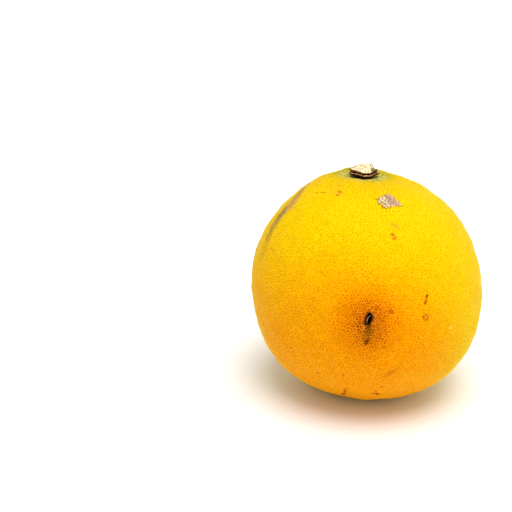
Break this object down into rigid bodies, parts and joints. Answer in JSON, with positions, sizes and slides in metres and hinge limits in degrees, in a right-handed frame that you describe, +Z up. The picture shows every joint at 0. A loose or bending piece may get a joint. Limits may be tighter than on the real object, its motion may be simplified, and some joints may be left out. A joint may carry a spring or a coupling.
{
  "type": "bergamot orange",
  "caption": "Whole ripe bergamot orange with pitted yellow rind, dried calyx and short cut stem, resting on a small flat spot at its base.",
  "frame": {"origin": "on the resting plane, under the middle of the fruit's box", "axes": "+Z up towards the stem end, along the longest extent; -Y is the front with the puncture wound; +X to the right seen from the front"},
  "size_m": [0.0734, 0.0735, 0.0752],
  "materials": {
    "rind": "waxy, pitted with oil glands",
    "calyx": "dry, matt and cracked",
    "stem_wood": "raw torn wood"
  },
  "bodies": {
    "root": {"fruit": "rind", "calyx": "calyx", "stem_stub": "stem_wood"}
  },
  "joints": []
}
